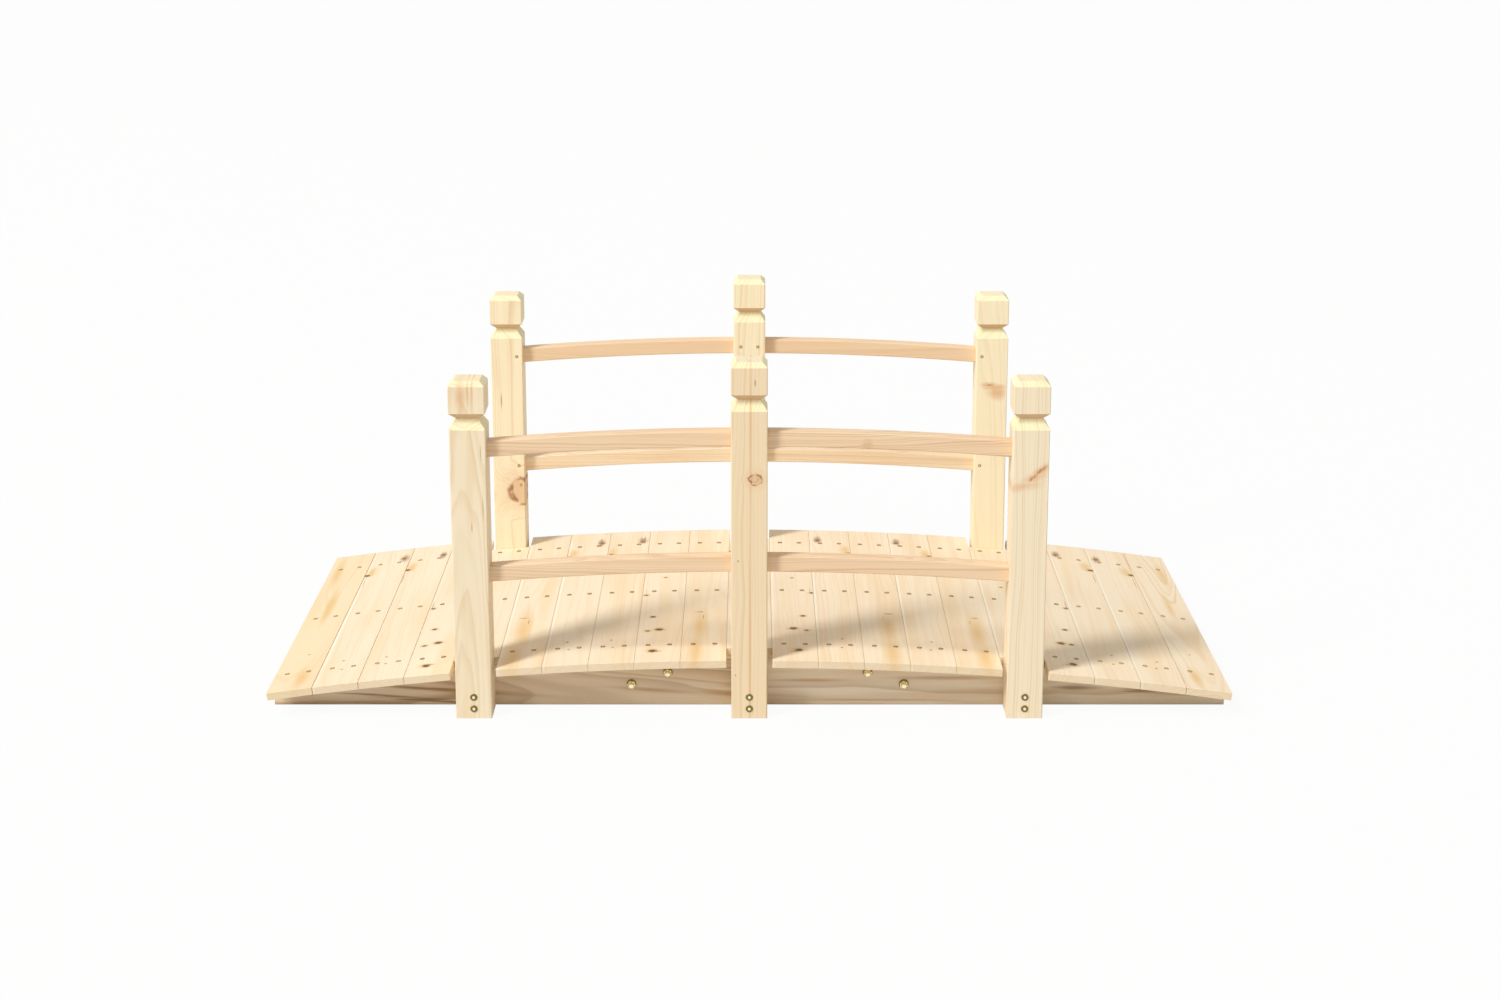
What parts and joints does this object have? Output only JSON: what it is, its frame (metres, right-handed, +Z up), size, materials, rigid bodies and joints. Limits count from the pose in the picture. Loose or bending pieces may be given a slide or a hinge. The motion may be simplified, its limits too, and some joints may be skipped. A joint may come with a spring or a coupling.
{
  "type": "garden bridge",
  "caption": "Low arched footbridge of pale softwood: slatted deck on arched stringers, square capped posts and curved rails along both sides.",
  "frame": {"origin": "on the ground under the middle of the deck", "axes": "+X along the span, -Y towards the front side, +Z up"},
  "size_m": [1.5038, 0.67, 0.57],
  "materials": {
    "deck_board_wood": "planed, untreated",
    "post_wood": "planed, untreated",
    "rail_wood": "planed, untreated",
    "stringer_wood": "planed, untreated"
  },
  "bodies": {
    "root": {"back_lower_rail_left": "rail_wood", "back_lower_rail_right": "rail_wood", "back_post_left": "post_wood", "back_post_middle": "post_wood", "back_post_right": "post_wood", "back_splice_board": "stringer_wood", "back_stringer_left": "stringer_wood", "back_stringer_right": "stringer_wood", "back_upper_rail_left": "rail_wood", "back_upper_rail_right": "rail_wood", "deck_board_01": "deck_board_wood", "deck_board_02": "deck_board_wood", "deck_board_03": "deck_board_wood", "deck_board_04": "deck_board_wood", "deck_board_05": "deck_board_wood", "deck_board_06": "deck_board_wood", "deck_board_07": "deck_board_wood", "deck_board_08": "deck_board_wood", "deck_board_09": "deck_board_wood", "deck_board_10": "deck_board_wood", "deck_board_11": "deck_board_wood", "deck_board_12": "deck_board_wood", "deck_board_13": "deck_board_wood", "deck_board_14": "deck_board_wood", "deck_board_15": "deck_board_wood", "deck_board_16": "deck_board_wood", "deck_board_17": "deck_board_wood", "deck_board_18": "deck_board_wood", "deck_board_19": "deck_board_wood", "deck_board_20": "deck_board_wood", "deck_board_21": "deck_board_wood", "front_lower_rail_left": "rail_wood", "front_lower_rail_right": "rail_wood", "front_post_left": "post_wood", "front_post_middle": "post_wood", "front_post_right": "post_wood", "front_splice_board": "stringer_wood", "front_stringer_left": "stringer_wood", "front_stringer_right": "stringer_wood", "front_upper_rail_left": "rail_wood", "front_upper_rail_right": "rail_wood", "middle_splice_board": "stringer_wood", "middle_stringer_left": "stringer_wood", "middle_stringer_right": "stringer_wood"}
  },
  "joints": []
}
